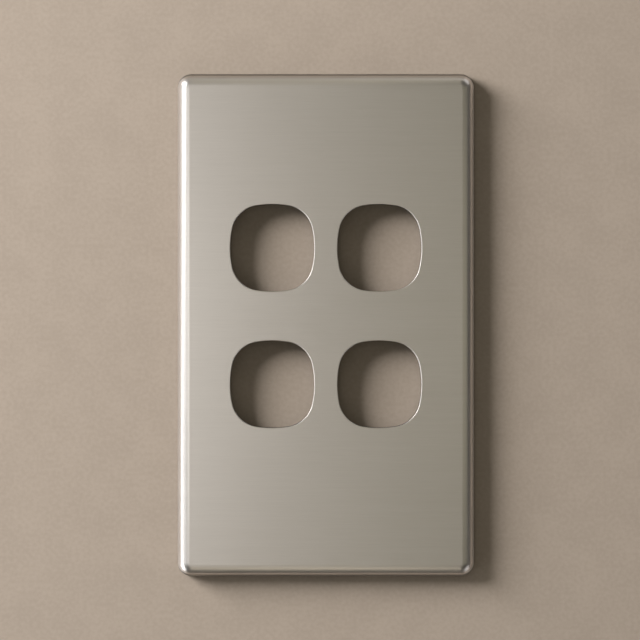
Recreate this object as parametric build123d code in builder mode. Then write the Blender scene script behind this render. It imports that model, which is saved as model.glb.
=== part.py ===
"""Cover plate for a four-gang wall switch, pressed from one sheet of stainless steel.

The plate lies with its skirt on the XY plane: +Y runs up the plate, +Z out of the wall. Millimetres.
"""

import os

from build123d import *

# The tray
plate_width = 69.0
plate_height = 117.0
plate_depth = 4.5
sheet = 1.0
edge_radius = 2.8  # outside roll between the face and the skirt
face_corner_radius = 0.4  # corner of the flat face, inside the roll
rim_break = 0.2  # bevel on the free edge of the skirt

# The four openings
opening_width = 19.5
opening_height = 20.3
opening_bow_radius = 22.0  # each side bows outward on this radius
opening_corner_radius = 6.7
opening_front_radius = 0.2  # rounding on the face side
opening_pitch_across = 24.9
opening_pitch_up = 31.7
opening_rise = 2.1  # centre of the group above the centre of the plate

# The collar turned inward around each opening
collar_clearance = 1.0  # from its free edge to the wall
collar_edge_break = 0.2  # bevel on its free edge, towards the rocker
collar_root_break = 0.6  # bevel where it leaves the face

# The snap ribs inside the long skirts
rib_length = 8.0
rib_proud = 0.4
rib_foot = 0.35  # from the rim to the start of the lead-in ramp
rib_ramp = 0.75  # height of the lead-in ramp
rib_catch = 0.45  # height of the steeper catch face
rib_spacing = 64.0
rib_crest_radius = 0.15

# The slot in the bottom skirt where a screwdriver lifts the plate off
pry_width = 8.0
pry_height = 0.9

corner_radius = edge_radius + face_corner_radius
skirt_inside = plate_width / 2 - sheet
face_underside = plate_depth - sheet
gap_between_collars = opening_pitch_across - opening_width - 2 * sheet
collar_root = min(collar_root_break, gap_between_collars / 4)


def bowed_square(outset):
    """The outline of an opening, grown by outset: four large discs leave a square with bowed sides."""
    reach_across = opening_width / 2 + outset
    reach_up = opening_height / 2 + outset
    bow_radius = opening_bow_radius + outset
    with BuildSketch() as outline:
        with Locations((reach_across - bow_radius, 0)):
            Circle(bow_radius)
        with Locations((bow_radius - reach_across, 0)):
            Circle(bow_radius, mode=Mode.INTERSECT)
        with Locations((0, reach_up - bow_radius)):
            Circle(bow_radius, mode=Mode.INTERSECT)
        with Locations((0, bow_radius - reach_up)):
            Circle(bow_radius, mode=Mode.INTERSECT)
        fillet(outline.vertices().sort_by_distance((0, 0))[-4:], opening_corner_radius + outset)
    return outline.sketch


opening = bowed_square(0)
collar = bowed_square(sheet)

# One snap rib on the right-hand skirt, rooted in the sheet
with BuildPart() as rib:
    with BuildSketch(Plane.XZ):
        with BuildLine():
            Polyline(
                (skirt_inside + sheet / 2, rib_foot),
                (skirt_inside, rib_foot),
                (skirt_inside - rib_proud, rib_foot + rib_ramp),
                (skirt_inside, rib_foot + rib_ramp + rib_catch),
                (skirt_inside + sheet / 2, rib_foot + rib_ramp + rib_catch),
                close=True,
            )
        make_face()
    extrude(amount=rib_length / 2, both=True)
    fillet(rib.edges().filter_by(Axis.Y).sort_by(Axis.X)[0], rib_crest_radius)

with BuildPart() as switch_plate:
    # Drawn tray: face, roll and skirt of one thickness, open towards the wall
    with BuildSketch():
        RectangleRounded(plate_width, plate_height, corner_radius)
    extrude(amount=plate_depth)
    fillet(switch_plate.faces().sort_by(Axis.Z)[-1].edges(), edge_radius)
    offset(amount=-sheet, openings=switch_plate.faces().sort_by(Axis.Z)[0])
    chamfer(switch_plate.faces().sort_by(Axis.Z)[0].edges(), rim_break)

    # Collars under the face, each one sheet thick once it is pierced
    with BuildSketch(Plane.XY.offset(collar_clearance)):
        with Locations((0, opening_rise)):
            with GridLocations(opening_pitch_across, opening_pitch_up, 2, 2):
                add(collar)
    extrude(amount=face_underside + sheet / 2 - collar_clearance)
    underside = switch_plate.faces().filter_by(Axis.Z).sort_by(Axis.Z)[-2]
    chamfer(underside.inner_wires().edges(), collar_root)

    # Openings pierced through face and collar, eased at both ends
    with BuildSketch(Plane.XY.offset(plate_depth)):
        with Locations((0, opening_rise)):
            with GridLocations(opening_pitch_across, opening_pitch_up, 2, 2):
                add(opening)
    extrude(amount=-plate_depth, mode=Mode.SUBTRACT)
    face = switch_plate.faces().sort_by(Axis.Z)[-1]
    fillet(face.inner_wires().edges(), opening_front_radius)
    collar_feet = switch_plate.faces().filter_by(Axis.Z).filter_by_position(
        Axis.Z, collar_clearance / 2, collar_clearance + collar_edge_break
    )
    for foot in collar_feet:
        chamfer(foot.inner_wires().edges(), collar_edge_break)

    # Two snap ribs inside each long skirt
    for side_turn in (0, 180):
        for rib_place in (-rib_spacing / 2, rib_spacing / 2):
            with Locations(Location((0, rib_place, 0), (0, 0, side_turn))):
                add(rib.part)

    # Pry slot through the bottom skirt
    with BuildSketch(Plane.XZ.offset(plate_height / 2)):
        SlotOverall(pry_width, 2 * pry_height)
    extrude(amount=-2 * sheet, mode=Mode.SUBTRACT)

switch_plate.part.label = "switch_plate"

os.makedirs("parts", exist_ok=True)
export_step(switch_plate.part, "parts/switch_plate.step")
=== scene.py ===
# %% [markdown]
# # A satin steel switch plate
# The object is the cover of a wall switch: one sheet of stainless steel, pressed into a shallow tray with
# rolled edges and pierced with four rounded-square openings for the rockers. The construction model
# already has its true form and size, so this lesson is about finish and light. A plain metal plate is a
# good teacher: it has almost no colour of its own, and nearly everything you see on it is grain and
# reflection.

# %% Load the construction model
import math

import bpy
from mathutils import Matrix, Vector


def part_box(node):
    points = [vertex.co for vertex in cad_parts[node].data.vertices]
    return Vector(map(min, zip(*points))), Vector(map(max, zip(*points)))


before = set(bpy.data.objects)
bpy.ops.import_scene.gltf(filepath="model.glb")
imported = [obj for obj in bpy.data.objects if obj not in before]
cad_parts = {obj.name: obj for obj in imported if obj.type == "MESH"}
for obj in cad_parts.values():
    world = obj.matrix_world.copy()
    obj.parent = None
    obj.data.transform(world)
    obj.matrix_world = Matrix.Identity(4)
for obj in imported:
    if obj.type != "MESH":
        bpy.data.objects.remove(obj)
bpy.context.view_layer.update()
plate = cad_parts["switch_plate"]
plate_low, plate_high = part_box("switch_plate")
plate_size = plate_high - plate_low
mm = 0.001
print("plate, mm:", [round(side / mm, 2) for side in plate_size], "faces:", len(plate.data.polygons))

# %% [markdown]
# ## Helpers for shader nodes
# A shader is a chain of small sums. Written out one socket at a time it gets long, so a few helpers keep
# the cells short. The first adds a node and fills its inputs, and the second does one step of arithmetic.
# The third starts a node group: a chain with named inputs and outputs, which is built once and used
# wherever it is needed.

# %% Helpers for nodes and groups
def add_node(tree, kind, inputs=None, **settings):
    """Adds a node, sets its properties, and fills its inputs with values or with links from other sockets."""
    node = tree.nodes.new(kind)
    for name, value in settings.items():
        setattr(node, name, value)
    for name, value in (inputs or {}).items():
        if isinstance(value, bpy.types.NodeSocket):
            tree.links.new(value, node.inputs[name])
        else:
            node.inputs[name].default_value = value
    return node


def calc(tree, operation, first, second=0.0, clamp=False):
    """One step of arithmetic. Returns the socket that holds its result."""
    node = add_node(tree, "ShaderNodeMath", {0: first, 1: second}, operation=operation, use_clamp=clamp)
    return node.outputs["Value"]


def new_group(name, inputs, outputs):
    """A node group. Its inputs are given as name: default value, where None stands for a vector."""
    tree = bpy.data.node_groups.new(name, "ShaderNodeTree")
    for socket, default in inputs.items():
        kind = "NodeSocketVector" if default is None else "NodeSocketFloat"
        made = tree.interface.new_socket(name=socket, in_out="INPUT", socket_type=kind)
        if default is not None:
            made.default_value = default
    for socket in outputs:
        tree.interface.new_socket(name=socket, in_out="OUTPUT", socket_type="NodeSocketFloat")
    given = tree.nodes.new("NodeGroupInput").outputs
    result = tree.nodes.new("NodeGroupOutput").inputs
    print("group", name, "takes", list(inputs), "and gives", outputs)
    return tree, given, result


# %% [markdown]
# ## Variation that every surface shares
# No real surface is quite even. Paint dries in faint clouds, and metal comes off the rolling mill with
# slow changes of sheen. One group gives both: a broad cloud for tone and a fine tooth for roughness and
# bump. It is kept as a group because the plate and the wall use it at different scales.

# %% Clouds and tooth
cloud_detail, tooth_detail = 2.0, 1.0

group_inputs = {"Vector": None, "Cloud Size": 20 * mm, "Tooth Size": 0.4 * mm}
uneven, given, result = new_group("uneven_surface", group_inputs, ["Cloud", "Tooth"])
for output, detail in (("Cloud", cloud_detail), ("Tooth", tooth_detail)):
    scale = calc(uneven, "DIVIDE", 1.0, given[output + " Size"])
    noise_inputs = {"Vector": given["Vector"], "Scale": scale, "Detail": detail}
    noise = add_node(uneven, "ShaderNodeTexNoise", noise_inputs)
    uneven.links.new(noise.outputs["Fac"], result[output])

# %% [markdown]
# ## Satin grain
# A satin finish is made with an abrasive belt that runs across the plate, so its scratches all lie along
# X: long, shallow and far finer than a hair. Two ideas make it. Noise stretched along the grain gives
# streaks you can see from close up, and an anisotropic highlight stands for the millions that are too
# fine to draw. The streaks are drawn over the unrolled surface: the lower a spot lies on the roll, the
# further it counts from the middle of the plate. So they run on over the top and bottom edges instead of
# smearing down the skirt.

# %% Streaks
streak_detail = 2.0

group_inputs = {"Vector": None, "Length": 8 * mm, "Width": 0.12 * mm}
streaks, given, result = new_group("satin_streaks", group_inputs, ["Streaks"])
parts = add_node(streaks, "ShaderNodeSeparateXYZ", {"Vector": given["Vector"]}).outputs
height = calc(streaks, "MULTIPLY", calc(streaks, "SIGN", parts["Y"]), parts["Z"])
unrolled = calc(streaks, "SUBTRACT", parts["Y"], height)
along = calc(streaks, "DIVIDE", parts["X"], given["Length"])
across = calc(streaks, "DIVIDE", unrolled, given["Width"])
stretched = add_node(streaks, "ShaderNodeCombineXYZ", {"X": along, "Y": across}).outputs["Vector"]
noise_inputs = {"Vector": stretched, "Scale": 1.0, "Detail": streak_detail}
noise = add_node(streaks, "ShaderNodeTexNoise", noise_inputs, noise_dimensions="2D")
streaks.links.new(noise.outputs["Fac"], result["Streaks"])

# %% [markdown]
# ## Where the finish changes
# Only the outside is brushed. The inside of the tray and the collars that turn in around the openings
# keep a dull, dark insulating lacquer, which stops where the front rounding of each opening begins. The
# belt wraps round the left and right rolls, which end a little coarser because it presses less there. The
# skirt gets painted shade: a darker steel colour all round, which reaches further up the lower part of the
# top and bottom rolls than of the side ones. Hands and cloths rub the turned edges a little smoother. Each
# of the four is a mask that reads the shape: how high a spot lies, and which way the surface looks there.
# Masks could also be painted by hand, but these need no unwrapping and have no seams.

# %% Helpers for a material and its masks
def new_material(name):
    """A node material that holds only its output and a Principled BSDF."""
    material = bpy.data.materials.new(name)
    material.use_nodes = True
    tree = material.node_tree
    tree.nodes.clear()
    output = tree.nodes.new("ShaderNodeOutputMaterial")
    shader = tree.nodes.new("ShaderNodeBsdfPrincipled")
    tree.links.new(shader.outputs["BSDF"], output.inputs["Surface"])
    print("material", name)
    return material, tree, shader


def remap(tree, value, low, high, to_low=0.0, to_high=1.0):
    """Moves a value from one range to another, with soft ends."""
    limits = {"Value": value, "From Min": low, "From Max": high, "To Min": to_low, "To Max": to_high}
    return add_node(tree, "ShaderNodeMapRange", limits, interpolation_type="SMOOTHSTEP").outputs["Result"]


# %% Mask for the lacquer inside
roll_radius = 2.8 * mm
front_rounding = 0.2 * mm
lacquer_edge = 0.1 * mm
facing_margin = 0.2 * mm

rim_level = plate_size.z - front_rounding
flat_half_x = plate_size.x / 2 - roll_radius
flat_half_y = plate_size.y / 2 - roll_radius

steel, tree, shader = new_material("satin_steel")
place = add_node(tree, "ShaderNodeTexCoord").outputs["Object"]
turn = add_node(tree, "ShaderNodeNewGeometry").outputs["Normal"]
spot = add_node(tree, "ShaderNodeSeparateXYZ", {"Vector": place}).outputs
below = remap(tree, spot["Z"], rim_level - lacquer_edge, rim_level, 1.0, 0.0)
clear_x = calc(tree, "SUBTRACT", flat_half_x, calc(tree, "ABSOLUTE", spot["X"]))
clear_y = calc(tree, "SUBTRACT", flat_half_y, calc(tree, "ABSOLUTE", spot["Y"]))
within = calc(tree, "GREATER_THAN", calc(tree, "MINIMUM", clear_x, clear_y), 0.0)
away = add_node(tree, "ShaderNodeVectorMath", {0: place, 1: turn}, operation="DOT_PRODUCT")
facing_in = calc(tree, "LESS_THAN", away.outputs["Value"], -facing_margin)
inside = calc(tree, "MULTIPLY", below, calc(tree, "MAXIMUM", within, facing_in))
outside = calc(tree, "SUBTRACT", 1.0, inside)
print("lacquer ends, mm:", round(rim_level / mm, 2))

# %% Masks for the turned edges, the side rolls and the painted shade of the skirt
# How much the normal still points up where a mask begins and where it is full
edge_begins, edge_full = 0.98, 0.75
side_begins, side_full = 0.8, 0.35
# How much higher the painted shade reaches on the top and bottom rolls, and the band over which it fades out
shade_reach = 1.7 * mm
shade_below, shade_above = 0.2 * mm, 0.6 * mm

roll_start = plate_size.z - roll_radius
lean = add_node(tree, "ShaderNodeSeparateXYZ", {"Vector": turn}).outputs
edge = calc(tree, "MULTIPLY", remap(tree, lean["Z"], edge_begins, edge_full), outside)
sideways = calc(tree, "ABSOLUTE", lean["X"])
steep = calc(tree, "MULTIPLY", remap(tree, lean["Z"], side_begins, side_full), sideways)
# Painted shade: a darker steel colour on the skirt, reaching higher up the top and bottom rolls
shade_rise = calc(tree, "MULTIPLY", calc(tree, "ABSOLUTE", lean["Y"]), shade_reach)
shade_height = calc(tree, "SUBTRACT", spot["Z"], shade_rise)
skirt_shade = remap(tree, shade_height, roll_start - shade_below, roll_start + shade_above, 1.0, 0.0)
print("roll starts, mm:", round(roll_start / mm, 2))

# %% [markdown]
# ## Satin steel
# Steel is a metal, so its colour sits in Base Color with Metallic at one, and what tells a satin from a
# polish is roughness. On the face, the finish moves both by a few parts in a hundred: enough to keep the
# surface alive from close up, and no more than a photograph shows from an arm's length away. The lacquer
# is no metal and nearly matt, so it gets a weak specular level, which the metal doesn't use.

# %% Helpers for groups and blends
def use_group(tree, group, inputs):
    """Places a node group in a material. Returns its outputs."""
    return add_node(tree, "ShaderNodeGroup", inputs, node_tree=group).outputs


def blend(tree, share, first, second):
    """Blends two number sockets, or two colours. Returns the socket of the blend."""
    is_number = isinstance(first, bpy.types.NodeSocketFloat)
    kind, into, out = ("FLOAT", (2, 3), 0) if is_number else ("RGBA", (6, 7), 2)
    node = add_node(tree, "ShaderNodeMix", {0: share, into[0]: first, into[1]: second}, data_type=kind)
    return node.outputs[out]


# %% Grain and colour
steel_dark = (0.715, 0.68, 0.65, 1.0)
steel_light = (0.775, 0.737, 0.705, 1.0)
# Painted shade: the darker steel colour laid on the skirt and the lower part of the rolls
shaded_skirt_steel = (0.28, 0.268, 0.252, 1.0)
lacquer_dark = (0.035, 0.034, 0.032, 1.0)
lacquer_light = (0.055, 0.053, 0.05, 1.0)
noise_middle = (0.3, 0.7)  # the range that noise mostly fills
broad_share = 0.35
cloud_share = 0.5
rubbed_lighter = 0.5

sheen = use_group(tree, uneven, {"Vector": place, "Cloud Size": 22 * mm, "Tooth Size": 0.35 * mm})
fine = use_group(tree, streaks, {"Vector": place, "Length": 7 * mm, "Width": 0.11 * mm})["Streaks"]
broad = use_group(tree, streaks, {"Vector": place, "Length": 45 * mm, "Width": 0.7 * mm})["Streaks"]
grain = remap(tree, blend(tree, broad_share, fine, broad), *noise_middle)
rubbed = calc(tree, "MULTIPLY", edge, sheen["Cloud"])
mottled = blend(tree, cloud_share, grain, sheen["Cloud"])
tone = calc(tree, "ADD", mottled, calc(tree, "MULTIPLY", rubbed, rubbed_lighter), clamp=True)
metal = blend(tree, skirt_shade, blend(tree, tone, steel_dark, steel_light), shaded_skirt_steel)
lacquer = blend(tree, sheen["Tooth"], lacquer_dark, lacquer_light)
tree.links.new(blend(tree, inside, metal, lacquer), shader.inputs["Base Color"])
tree.links.new(outside, shader.inputs["Metallic"])
print("steel, light and dark:", steel_light[:3], steel_dark[:3])

# %% Roughness and relief
noise_most = (0.2, 0.8)  # the range that noise seldom leaves
satin_roughness = (0.34, 0.38)
lacquer_roughness = (0.55, 0.7)
side_coarser = 0.32
rubbed_smoother = 0.04
scratch_depth = 0.001 * mm
scratch_strength = 0.5
lacquer_specular = 0.2

satin = remap(tree, grain, *noise_most, *satin_roughness)
coarse = calc(tree, "ADD", satin, calc(tree, "MULTIPLY", steep, side_coarser))
brushed = calc(tree, "SUBTRACT", coarse, calc(tree, "MULTIPLY", rubbed, rubbed_smoother))
dull = remap(tree, sheen["Tooth"], *noise_most, *lacquer_roughness)
tree.links.new(blend(tree, inside, brushed, dull), shader.inputs["Roughness"])
relief = blend(tree, inside, fine, sheen["Tooth"])
bump_inputs = {"Strength": scratch_strength, "Distance": scratch_depth, "Height": relief}
tree.links.new(add_node(tree, "ShaderNodeBump", bump_inputs).outputs["Normal"], shader.inputs["Normal"])
shader.inputs["Specular IOR Level"].default_value = lacquer_specular
print("roughness of the face and of the lacquer:", satin_roughness, lacquer_roughness)

# %% [markdown]
# ## A highlight that follows the grain
# Light that falls across many parallel scratches is thrown sideways, in a plane at right angles to them.
# The Principled shader does this with Anisotropic and a tangent. The tangent here is the direction across
# the grain: the cross product of the surface normal with the grain's own direction, which stays true
# where the plate rolls over its edges. A hair of Y is added so that it never vanishes where the surface
# looks straight along the grain.

# %% Anisotropic highlight
grain_direction = (1.0, 0.0, 0.0)
hair_of_y = (0.0, 0.01, 0.0)
grain_strength = 0.35

crossed = add_node(tree, "ShaderNodeVectorMath", {0: turn, 1: grain_direction}, operation="CROSS_PRODUCT")
across_grain = crossed.outputs["Vector"]
tangent = add_node(tree, "ShaderNodeVectorMath", {0: across_grain, 1: hair_of_y}, operation="ADD")
tree.links.new(tangent.outputs["Vector"], shader.inputs["Tangent"])
shader.inputs["Anisotropic"].default_value = grain_strength
plate.data.materials.clear()
plate.data.materials.append(steel)
print("nodes in", steel.name, len(tree.nodes))

# %% [markdown]
# ## The wall it lies on
# A plain painted surface, pale and warm, with no pattern. It only has to catch the shadow of the plate
# and show through the openings, so its paint gets the faint clouds and the fine tooth of a rolled
# emulsion and nothing else. Wall paint is matt: a weak specular level keeps the shadows from filling with
# reflected light.

# %% Painted floor
floor_side = 6.0
paint_dark = (0.338, 0.284, 0.233, 1.0)
paint_light = (0.374, 0.314, 0.258, 1.0)
paint_roughness = (0.7, 0.8)
paint_specular = 0.1
tooth_share = 0.6
tooth_depth = 0.004 * mm
tooth_strength = 0.4

half = floor_side / 2
corners = [(-half, -half, 0), (half, -half, 0), (half, half, 0), (-half, half, 0)]
mesh = bpy.data.meshes.new("floor")
mesh.from_pydata(corners, [], [(0, 1, 2, 3)])
floor = bpy.data.objects.new("floor", mesh)
bpy.context.scene.collection.objects.link(floor)

paint, tree, shader = new_material("floor_paint")
place = add_node(tree, "ShaderNodeTexCoord").outputs["Object"]
dried = use_group(tree, uneven, {"Vector": place, "Cloud Size": 8 * mm, "Tooth Size": 0.9 * mm})
shade = remap(tree, blend(tree, tooth_share, dried["Cloud"], dried["Tooth"]), *noise_middle)
matt = remap(tree, dried["Tooth"], *noise_most, *paint_roughness)
tree.links.new(blend(tree, shade, paint_dark, paint_light), shader.inputs["Base Color"])
tree.links.new(matt, shader.inputs["Roughness"])
bump_inputs = {"Strength": tooth_strength, "Distance": tooth_depth, "Height": dried["Tooth"]}
tree.links.new(add_node(tree, "ShaderNodeBump", bump_inputs).outputs["Normal"], shader.inputs["Normal"])
shader.inputs["Specular IOR Level"].default_value = paint_specular
floor.data.materials.append(paint)
print("floor, m:", floor_side, "with", paint.name)

# %% [markdown]
# ## One window
# The photograph is lit by one soft window at the upper left, low enough to throw the plate's shadow to
# the right and a little down. Its height and its size are read from that shadow: the height from how long
# the shadow is, the size from how soft its edge is. A second, wider and much weaker panel at the lower
# left fills the shadow below the plate. A panel's power grows with its area, so the helper takes how
# bright the panel's surface is to look and works out the power. A window bright enough for the paint
# would glare on the metal and hide its grain when you look from the side, so this one is hidden from
# glossy rays and the metal gets its own in the next step.

# %% Helpers for panels and windows
light_distance = 1.0


def add_panel(name, centre, facing, sides, radiance, colour=(1, 1, 1), for_paint=True, for_metal=True):
    """A soft flat light. Its power is worked out from how bright its surface is to look."""
    light = bpy.data.lights.new(name, "AREA")
    light.shape = "RECTANGLE"
    light.size, light.size_y = sides
    light.energy = radiance * math.pi * sides[0] * sides[1]
    light.color = colour
    panel = bpy.data.objects.new(name, light)
    panel.location = centre
    panel.rotation_euler = Vector(facing).to_track_quat("-Z", "Y").to_euler()
    panel.visible_camera = False
    panel.visible_diffuse = for_paint
    panel.visible_glossy = for_metal
    bpy.context.scene.collection.objects.link(panel)
    print(name, "brightness:", radiance)
    return light


def add_window(name, azimuth, elevation, sides, radiance, **seen):
    """A panel that looks at the plate, placed by its compass angle from +X and its height angle."""
    turn_angle, rise_angle = math.radians(azimuth), math.radians(elevation)
    flat = math.cos(rise_angle)
    towards = Vector((math.cos(turn_angle) * flat, math.sin(turn_angle) * flat, math.sin(rise_angle)))
    return add_panel(name, towards * light_distance, -towards, sides, radiance, **seen)


def make_oval(light):
    """Turns a panel into an oval that looks as bright as before."""
    light.shape = "ELLIPSE"
    light.energy *= math.pi / 4


# %% Window and side light
window_tint = (1, 0.985, 0.985)
window = add_window("window", azimuth=153.5, elevation=21, sides=(0.54, 0.61), radiance=32.5,
                    colour=window_tint, for_metal=False)
make_oval(window)
add_window("side_window", azimuth=207, elevation=10.5, sides=(0.88, 0.35), radiance=4.2)

# %% [markdown]
# ## What the metal mirrors
# The left roll mirrors the window and the pale wall around it, so the metal gets a tall oval sheen and a
# wide, fainter glow. The flat face looks straight up, so its tone is the tone of the ceiling, blurred by
# the grain. In the photograph it falls from bright at the left to dim and warm at the right. A few panels
# side by side do the same, each as bright as the part of the face that mirrors it. One painted sky could
# do it too, but panels can be tuned one at a time. The sheen, the glow and the brightest strip of ceiling
# are for the metal alone: they are hidden from diffuse rays, so that they don't fill the shadows on the
# paint.

# %% Sheen and glow
sheen_light = add_window("window_sheen", azimuth=154, elevation=27, sides=(0.5, 0.95), radiance=4.6,
                         for_paint=False)
make_oval(sheen_light)
add_window("window_glow", azimuth=165, elevation=40, sides=(1.0, 0.62), radiance=0.58, for_paint=False)

# %% Ceiling
ceiling_height = 0.3
# Where each strip starts along X, from left to right, and where the last one ends
edge_x, bright_x, middle_x, dim_x, right_x, end_x = -0.25, -0.14, -0.07, -0.02, 0.05, 0.4
# How far the strips reach from the middle along Y
short_y, long_y, far_y = 0.08, 0.2, 0.45
short, long = (-short_y, short_y), (-long_y, long_y)


def add_ceiling(name, across, up, radiance, colour, **seen):
    """A piece of ceiling between two places along X and two along Y."""
    (left, right), (foot, head) = across, up
    centre = ((left + right) / 2, (foot + head) / 2, ceiling_height)
    add_panel(name, centre, (0, 0, -1), (right - left, head - foot), radiance, colour, **seen)


add_ceiling("ceiling_edge", (edge_x, bright_x), short, radiance=0.62, colour=(1, 0.98, 0.9))
add_ceiling("ceiling_bright", (bright_x, middle_x), short, radiance=2.3, colour=(1, 0.99, 0.95),
            for_paint=False)
add_ceiling("ceiling_middle", (middle_x, dim_x), long, radiance=0.615, colour=(1, 0.93, 0.86))
add_ceiling("ceiling_dim", (dim_x, right_x), long, radiance=0.3, colour=(1, 0.95, 0.77))
add_ceiling("ceiling_right", (right_x, end_x), short, radiance=0.38, colour=(1, 0.94, 0.72))
add_ceiling("ceiling_low", (middle_x, right_x), (-far_y, -long_y), radiance=0.9, colour=(1, 0.9, 0.72))
add_ceiling("ceiling_high", (middle_x, right_x), (long_y, far_y), radiance=0.6, colour=(1, 0.92, 0.72))

# %% [markdown]
# ## The rest of the room
# The turned edges look sideways and need something to mirror there, or they go black. Three dim pieces of
# wall stand above, below and to the right of the plate. Two pale cards at the right are for a viewer who
# walks round: seen from the left, the face mirrors them instead of the dark. The world itself is nearly
# black.

# %% Walls, cards and world
wall_away, wall_width, wall_top = 0.8, 1.0, 0.5
wall_tint = (1, 0.95, 0.85)
card_azimuth, card_elevation = 45, 16
card_sides = (0.55, 0.45)
card_radiance = 0.85
card_tint = (1, 0.98, 0.96)
room_dark = (0.006, 0.0055, 0.0045, 1.0)


def add_wall(name, facing, foot, radiance):
    """A piece of wall beside the plate, from a foot above the floor up to the top of the walls."""
    centre = Vector((0, 0, (foot + wall_top) / 2)) - Vector(facing) * wall_away
    add_panel(name, centre, facing, (wall_width, wall_top - foot), radiance, wall_tint)


add_wall("top_wall", facing=(0, -1, 0), foot=0.15, radiance=0.62)
add_wall("bottom_wall", facing=(0, 1, 0), foot=0.15, radiance=0.1)
add_wall("right_wall", facing=(-1, 0, 0), foot=0.02, radiance=0.065)
for name, azimuth in (("upper_card", card_azimuth), ("lower_card", -card_azimuth)):
    add_window(name, azimuth, card_elevation, card_sides, card_radiance, colour=card_tint)

world = bpy.data.worlds.new("studio")
world.use_nodes = True
background = world.node_tree.nodes["Background"].inputs
background["Color"].default_value = room_dark
background["Strength"].default_value = 1.0
bpy.context.scene.world = world

# %% [markdown]
# ## The camera
# The photograph is taken square on and shows no side of the plate, so the camera hangs straight above it
# with a long lens. Four numbers place it: where the plate's outer edges lie in the photograph, in pixels.
# The height of the plate in pixels gives the scale, the scale gives the distance, and the middle of the
# four gives the aim. The outline that the camera sees is where the roll ends and the skirt starts, so the
# distance counts from there.

# %% Camera
photo_side_px = 640
left_px, right_px = 177.8, 473.9
top_px, bottom_px = 74.1, 576.1
lens_mm, sensor_mm = 200.0, 36.0

metres_per_px = plate_size.y / (bottom_px - top_px)
view_width = photo_side_px * metres_per_px
camera_height = roll_start + view_width * lens_mm / sensor_mm
aim_x = (photo_side_px - left_px - right_px) / 2 * metres_per_px
aim_y = (top_px + bottom_px - photo_side_px) / 2 * metres_per_px
camera_data = bpy.data.cameras.new("camera")
camera_data.lens = lens_mm
camera_data.sensor_width = sensor_mm
camera = bpy.data.objects.new("camera", camera_data)
camera.location = (aim_x, aim_y, camera_height)
bpy.context.scene.collection.objects.link(camera)
bpy.context.scene.camera = camera
bpy.context.scene.view_settings.view_transform = "Standard"
print("camera, m:", [round(value, 4) for value in camera.location])
